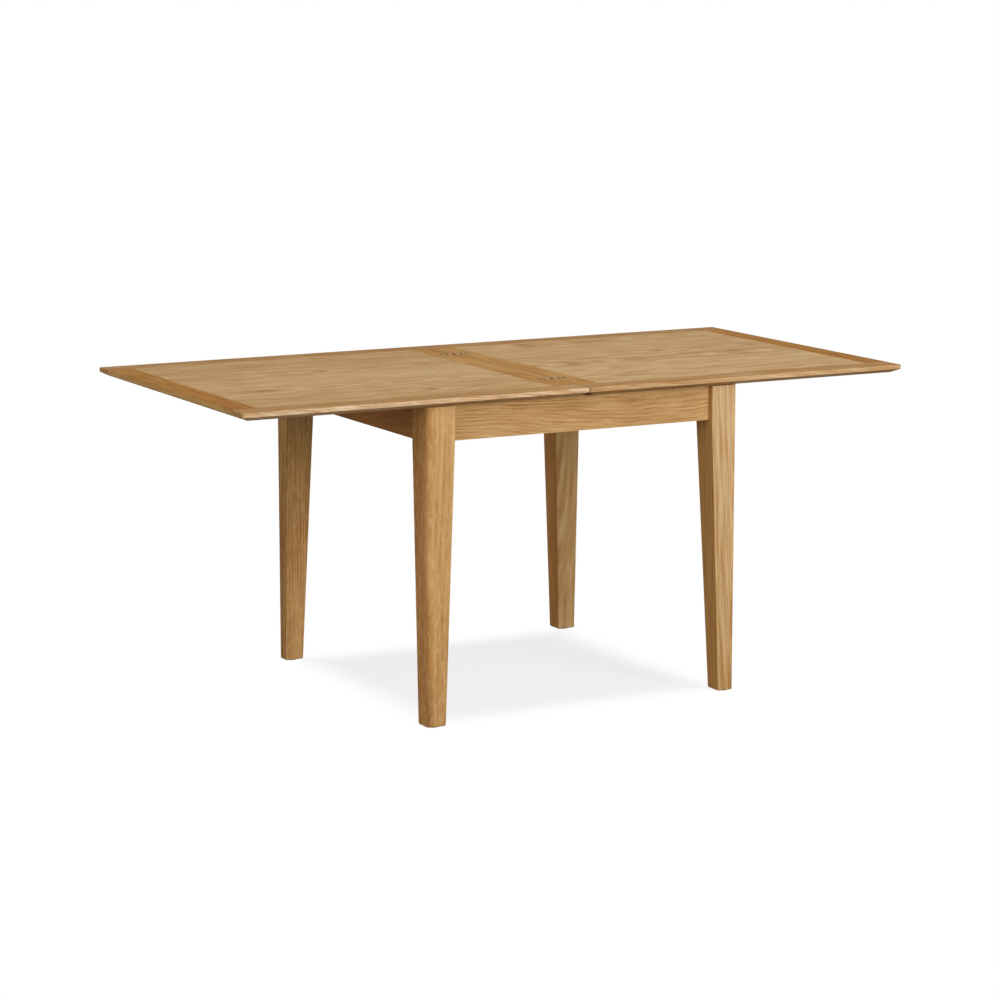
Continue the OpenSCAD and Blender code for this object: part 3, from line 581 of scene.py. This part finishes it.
class Legs(bpy.types.Operator):
    """Gives the legs upright oak with ray flecks and eased arrises"""
    bl_idname = "fliptable.legs"
    bl_label = "Legs"

    def execute(self, context):
        choices = context.scene.table_oak
        for i, (corner, (wood, side_wood, look)) in enumerate(LEGS.items()):
            finish = oak("lacquered_oak_leg_%s" % corner, "Z", choices.tones(wood), (0.1 * i, 0.15), 40 + i,
                         staves=LEG_BOARDS.get(corner), tilt=0.015, wander=0.02,
                         side_tones=choices.tones(side_wood), **look)
            dress(["leg_%s" % corner], finish)
            ease(["leg_%s" % corner], choices.arris)
        return {"FINISHED"}


# The aprons: the way of their grain, whose tones they have, how dark they are and how strong their streaks are.
APRONS = {
    "front": ("X", "apron", 0.0, 1.35),
    "back": ("X", "apron", 0.0, 1.35),
    # The side aprons take the side tones, which are partly painted shade.
    "left": ("Y", "leg_side", 0.25, 0.7),
    "right": ("Y", "leg_side", 0.0, 0.7),
}


class Aprons(bpy.types.Operator):
    """Gives the aprons strongly figured oak and eased arrises"""
    bl_idname = "fliptable.aprons"
    bl_label = "Aprons"

    def execute(self, context):
        choices = context.scene.table_oak
        for i, (side, (along, wood, shade, figure)) in enumerate(APRONS.items()):
            finish = oak("lacquered_oak_apron_%s" % side, along, choices.tones(wood), (-0.36, 0.56), 50 + i,
                         tilt=0.03, wander=0.08, streak=(0.10, 0.004), figure=figure, shade=shade)
            dress(["apron_%s" % side], finish)
            ease(["apron_%s" % side], choices.arris)
        return {"FINISHED"}


class Felts(bpy.types.Operator):
    """Lays the felt strips on the aprons, with soft worn edges"""
    bl_idname = "fliptable.felts"
    bl_label = "Felt strips"

    def execute(self, context):
        finish = pressed_felt("pressed_wool_felt", context.scene.table_metal.felt)
        for i, side in enumerate(SIDES):
            strip = felt_strip("felt_strip_%s" % side, *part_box("felt_%s" % side), seed=i)
            dress([strip], finish)
            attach(strip, "base")
            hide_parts("felt_%s" % side)
        return {"FINISHED"}


# The felt lies this far under the leaves, in metres, so that they slide over it without cutting into it.
FELT_ROOM = 0.00003
# How far apart its cross sections are, in metres, and by what share of half its width its cut sides waver
FELT_STEP = 0.004
FELT_WAVER = 0.05
# One side of its cross section, in shares of half its width and half its height: lower face, round side, upper face
FELT_SIDE = ((0.0, -1.0), (0.82, -1.0), (0.94, -0.72), (1.0, 0.0), (0.94, 0.72), (0.82, 1.0), (0.0, 1.0))


def felt_strip(name, low, high, seed):
    """A strip of felt inside its box, with rounded sides that waver a little as cut felt does."""
    high = high - Vector((0, 0, FELT_ROOM))
    size = high - low
    along = 0 if size.x > size.y else 1
    over = 1 - along
    middle = (low + high) / 2
    half_width, half_height = size[over] / 2, size.z / 2
    steps = round(size[along] / FELT_STEP)
    outline = FELT_SIDE + tuple((-x, z) for x, z in FELT_SIDE[-2:0:-1])
    chance = random.Random(seed)
    mesh = bmesh.new()
    rings = []
    for i in range(steps + 1):
        place = low[along] + size[along] * i / steps
        ring = []
        for x, z in outline:
            waver = 1 - FELT_WAVER * chance.random() if x else 1
            point = Vector((0, 0, middle.z + z * half_height))
            point[along] = place
            point[over] = middle[over] + x * half_width * waver
            ring.append(mesh.verts.new(point))
        rings.append(ring)
    count = len(outline)
    for a, b in zip(rings, rings[1:]):
        for k in range(count):
            mesh.faces.new((a[k], b[k], b[(k + 1) % count], a[(k + 1) % count]))
    mesh.faces.new(rings[0])
    mesh.faces.new(list(reversed(rings[-1])))
    bmesh.ops.recalc_face_normals(mesh, faces=mesh.faces)
    return finished_mesh(name, mesh)


def finished_mesh(name, mesh):
    """Turns a bmesh into a smooth object in the scene."""
    data = bpy.data.meshes.new(name)
    mesh.to_mesh(data)
    mesh.free()
    for polygon in data.polygons:
        polygon.use_smooth = True
    piece = bpy.data.objects.new(name, data)
    bpy.context.scene.collection.objects.link(piece)
    return piece


class Hinges(bpy.types.Operator):
    """Gives the hinge plates, links, pins and screws aged brass"""
    bl_idname = "fliptable.hinges"
    bl_label = "Hinges"

    def execute(self, context):
        choices = context.scene.table_metal
        plates = [n for n in NODES if "hinge_plate" in n]
        dress(plates, aged_brass("aged_brass_plates", choices.brass, choices.tarnish, worn=True))
        small = [n for n in NODES if "hinge" in n and n not in plates]
        dress(small, aged_brass("aged_brass_screws_and_links", choices.tarnish, choices.grime))
        return {"FINISHED"}


class Slide(bpy.types.Operator):
    """Gives the guide rails and runners plain hardwood, and the stop buffers rubber"""
    bl_idname = "fliptable.slide"
    bl_label = "Slide under the top"

    def execute(self, context):
        choices = context.scene.table_oak
        finish = planed_hardwood("planed_hardwood_slide", "X", choices.tones("inside"), 60)
        timber = ["guide_rail_front", "guide_rail_back", "runner_front", "runner_back"]
        dress(timber, finish)
        ease(timber, choices.arris / 2)
        rubber = moulded("moulded_rubber", context.scene.table_metal.rubber, rough=0.7, grit=0.0008)
        dress(["stop_buffers"], rubber)
        return {"FINISHED"}


class Fixings(bpy.types.Operator):
    """Gives the corner blocks and dowels plain wood, and the brackets, bolts and screws zinc plate"""
    bl_idname = "fliptable.fixings"
    bl_label = "Blocks and fixings"

    def execute(self, context):
        choices = context.scene.table_oak
        for i, corner in enumerate(CORNERS):
            finish = planed_hardwood("planed_hardwood_block_%s" % corner, "X", choices.tones("inside"), 70 + i)
            dress(["corner_block_%s" % corner], finish)
            ease(["corner_block_%s" % corner], choices.arris / 2)
        dress(["apron_dowels"], turned_beech("turned_beech", choices.tones("inside")))
        metal = zinc_plate("zinc_plate", context.scene.table_metal.zinc)
        dress(["corner_block_screws", "leg_bolts", "leg_bolt_washers", "leg_bolt_nuts", "guide_brackets",
               "guide_bracket_screws", "runner_screws"], metal)
        return {"FINISHED"}


class Glides(bpy.types.Operator):
    """Gives the foot glides moulded nylon"""
    bl_idname = "fliptable.glides"
    bl_label = "Foot glides"

    def execute(self, context):
        nylon = moulded("moulded_nylon", context.scene.table_metal.nylon, rough=0.45, grit=0.0012)
        dress(["foot_glides"], nylon)
        return {"FINISHED"}


# Where the photo's camera stands, in metres, and how far it is turned from +Y towards +X and looks down, in degrees
CAMERA_PLACE = (-3.4888, -6.5424, 1.7297)
CAMERA_TURN = 28.042
CAMERA_DIP = 9.984
# Its focal length and the width of its sensor, in millimetres
CAMERA_LENS = 113.61
CAMERA_SENSOR = 36.0
# The lamps: where each one is, the point that it faces and how wide it is, in metres. Their powers are choices.
LAMPS = {
    "key": ((1.6, -5.8, 1.9), (0.0, 0.0, 0.5), 3.0),
    "high": ((1.2, -4.2, 4.3), (0.0, -0.4, 0.7), 2.0),
    "top": ((0.0, 0.0, 4.4), (0.0, 0.0, 0.7), 2.6),
    "side": ((-5.6, -1.4, 1.45), (0.0, 0.0, 0.5), 2.6),
}
# How far the floor reaches from the middle, in metres
FLOOR_REACH = 14.0
# Share of the floor near the table that is plain white, which keeps its shadow as light as studio photographs have it
SHADOW_LIFT = 0.72
# How far from the middle the shadow is at its full depth, and where it ends, in metres
SHADOW_FULL = 0.28
SHADOW_END = 0.42
WHITE = (1.0, 1.0, 1.0, 1.0)


class Stage(bpy.types.Operator):
    """Sets up the pale floor, the white room, the soft lamps and the camera"""
    bl_idname = "fliptable.stage"
    bl_label = "Studio stage"

    def execute(self, context):
        choices = context.scene.table_stage
        add_floor(choices.floor, choices.bounce)
        white_room(choices.sky)
        for name, (place, target, width) in LAMPS.items():
            soft_lamp("%s_lamp" % name, place, target, width, getattr(choices, name))
        lens = bpy.data.cameras.new("camera")
        lens.lens = CAMERA_LENS
        lens.sensor_width = CAMERA_SENSOR
        camera = bpy.data.objects.new("camera", lens)
        camera.location = CAMERA_PLACE
        camera.rotation_euler = (math.radians(90 - CAMERA_DIP), 0, math.radians(-CAMERA_TURN))
        context.scene.collection.objects.link(camera)
        context.scene.camera = camera
        context.scene.view_settings.view_transform = "Standard"
        return {"FINISHED"}


def seen_white(tree):
    """One for the rays of the camera, of reflections and through clear things, which see the room as white."""
    ray = add(tree, "ShaderNodeLightPath").outputs
    shown = maths(tree, "MAXIMUM", ray["Is Camera Ray"], ray["Is Glossy Ray"])
    return maths(tree, "MAXIMUM", shown, ray["Is Transmission Ray"])


def add_floor(colour, bounce):
    """A matt floor that keeps the table's shadow, fades into the white room further out and lights the undersides."""
    mesh = bmesh.new()
    bmesh.ops.create_grid(mesh, x_segments=8, y_segments=8, size=FLOOR_REACH)
    floor = finished_mesh("studio_floor", mesh)
    material, tree, place = new_finish("matt_studio_floor")
    paint = add(tree, "ShaderNodeBsdfDiffuse", {"Color": shaded(colour)})
    level = add(tree, "ShaderNodeMapRange", {"Value": seen_white(tree), "To Min": bounce, "To Max": 1.0})
    glow = add(tree, "ShaderNodeEmission", {"Color": WHITE, "Strength": level.outputs["Result"]})
    # The shadow fades out past the legs: the larger of the two distances from the middle makes a square.
    away = add(tree, "ShaderNodeVectorMath", {0: place.outputs["Object"]}, operation="ABSOLUTE")
    sides = add(tree, "ShaderNodeSeparateXYZ", {"Vector": away.outputs["Vector"]})
    furthest = maths(tree, "MAXIMUM", sides.outputs["X"], sides.outputs["Y"])
    fade = add(tree, "ShaderNodeMapRange", {
        "Value": furthest, "From Min": SHADOW_FULL, "From Max": SHADOW_END, "To Min": SHADOW_LIFT, "To Max": 1.0},
        interpolation_type="SMOOTHSTEP")
    lift = add(tree, "ShaderNodeMixShader",
               {"Fac": fade.outputs["Result"], 1: paint.outputs["BSDF"], 2: glow.outputs["Emission"]})
    # The floor is clear from below, so that the underside of the table can be looked at.
    way = add(tree, "ShaderNodeNewGeometry")
    clear = add(tree, "ShaderNodeBsdfTransparent")
    shown = add(tree, "ShaderNodeMixShader",
                {"Fac": way.outputs["Backfacing"], 1: lift.outputs["Shader"], 2: clear.outputs["BSDF"]})
    add(tree, "ShaderNodeOutputMaterial", {"Surface": shown.outputs["Shader"]})
    dress([floor], material)


def white_room(strength):
    """White for the camera and in reflections, and an even light of the given strength on the table."""
    world = bpy.data.worlds.new("white_room")
    bpy.context.scene.world = world
    world.use_nodes = True
    tree = world.node_tree
    tree.nodes.clear()
    level = add(tree, "ShaderNodeMapRange", {"Value": seen_white(tree), "To Min": strength, "To Max": 1.0})
    light = add(tree, "ShaderNodeBackground", {"Color": WHITE, "Strength": level.outputs["Result"]})
    add(tree, "ShaderNodeOutputWorld", {"Surface": light.outputs["Background"]})


def soft_lamp(name, place, target, width, power):
    """A round lamp with a soft light that faces its target."""
    data = bpy.data.lights.new(name, "AREA")
    data.shape = "DISK"
    data.size = width
    data.energy = power
    lamp = bpy.data.objects.new(name, data)
    lamp.location = place
    lamp.rotation_euler = (Vector(target) - Vector(place)).to_track_quat("-Z", "Y").to_euler()
    bpy.context.scene.collection.objects.link(lamp)


OPERATORS = (LeafPanels, LeafRails, Legs, Aprons, Felts, Hinges, Slide, Fixings, Glides, Stage)


class TablePanel(bpy.types.Panel):
    """Lists the table's finishes and its stage"""
    bl_idname = "VIEW3D_PT_flip_table"
    bl_label = "Flip Top Dining Table"
    bl_space_type = "VIEW_3D"
    bl_region_type = "UI"
    bl_category = "Flip Table"

    def draw(self, context):
        column = self.layout.column()
        for operator in OPERATORS:
            column.operator(operator.bl_idname)
        for group in (context.scene.table_oak, context.scene.table_metal, context.scene.table_stage):
            box = self.layout.box().column()
            for name in group.__annotations__:
                box.prop(group, name)


CLASSES = (OakChoices, MetalChoices, StageChoices, *OPERATORS, TablePanel)


def register():
    """Makes the classes and the choices known to the program."""
    for item in CLASSES:
        bpy.utils.register_class(item)
    bpy.types.Scene.table_oak = bpy.props.PointerProperty(type=OakChoices)
    bpy.types.Scene.table_metal = bpy.props.PointerProperty(type=MetalChoices)
    bpy.types.Scene.table_stage = bpy.props.PointerProperty(type=StageChoices)


def unregister():
    """Takes the choices and the classes out again."""
    del bpy.types.Scene.table_oak, bpy.types.Scene.table_metal, bpy.types.Scene.table_stage
    for item in reversed(CLASSES):
        bpy.utils.unregister_class(item)


def main():
    """Gives the whole table its finishes and sets up the stage."""
    register()
    for operator in OPERATORS:
        group, name = operator.bl_idname.split(".")
        getattr(getattr(bpy.ops, group), name)()


if __name__ == "__main__":
    main()
